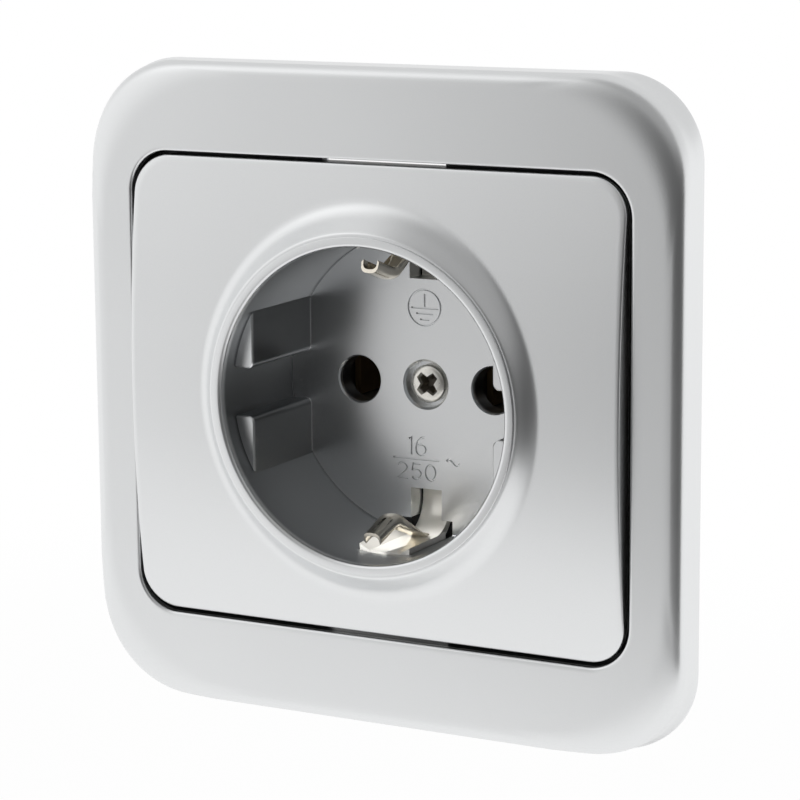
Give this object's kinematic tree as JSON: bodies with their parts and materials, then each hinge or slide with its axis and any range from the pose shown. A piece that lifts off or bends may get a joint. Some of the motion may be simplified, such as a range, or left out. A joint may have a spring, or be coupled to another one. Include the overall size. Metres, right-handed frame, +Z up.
{
  "type": "type f wall socket",
  "caption": "Square flush-mounted earthed wall socket with a bowed centre plate, a round plug recess, side earth springs and an insulating base with spreader claws.",
  "frame": {"origin": "on the axis of the round recess, at the wall's surface, midway between the box screws", "axes": "+X to the right seen from the room, +Y into the wall, +Z up"},
  "size_m": [0.0816, 0.0413, 0.0816],
  "materials": {
    "silver_lacquer": "moulded plastic with a satin silver lacquer",
    "nickel_plate": "nickel-plated brass strip",
    "zinc_steel": "zinc-plated sheet steel",
    "screw_steel": "bright zinc-plated steel",
    "contact_brass": "stamped brass",
    "base_plastic": "dark grey moulded thermoset"
  },
  "bodies": {
    "socket": {"cover_frame": "silver_lacquer", "centre_plate": "silver_lacquer", "centre_screw": "screw_steel", "earth_bracket": "nickel_plate", "earth_spring_top": "nickel_plate", "earth_spring_bottom": "nickel_plate", "support_ring": "zinc_steel", "contact_base": "base_plastic", "ring_rivets": "screw_steel", "pin_contact_left": "contact_brass", "pin_contact_right": "contact_brass", "terminal_screws": "screw_steel", "clamp_plate_left": "contact_brass", "clamp_plate_right": "contact_brass", "clamp_plate_earth": "contact_brass", "claw_screws": "screw_steel"},
    "claw_left": {"claw_left": "zinc_steel"},
    "claw_right": {"claw_right": "zinc_steel"}
  },
  "joints": [
    {"name": "claw_left_swing", "type": "hinge", "parent": "socket", "child": "claw_left", "pos_m": [-0.0238, 0.0003, -0.0065], "axis": [0, 0, 1], "range_deg": [0, 15]},
    {"name": "claw_right_swing", "type": "hinge", "parent": "socket", "child": "claw_right", "pos_m": [0.0238, 0.0003, 0.0065], "axis": [0, 0, -1], "range_deg": [0, 15]}
  ]
}
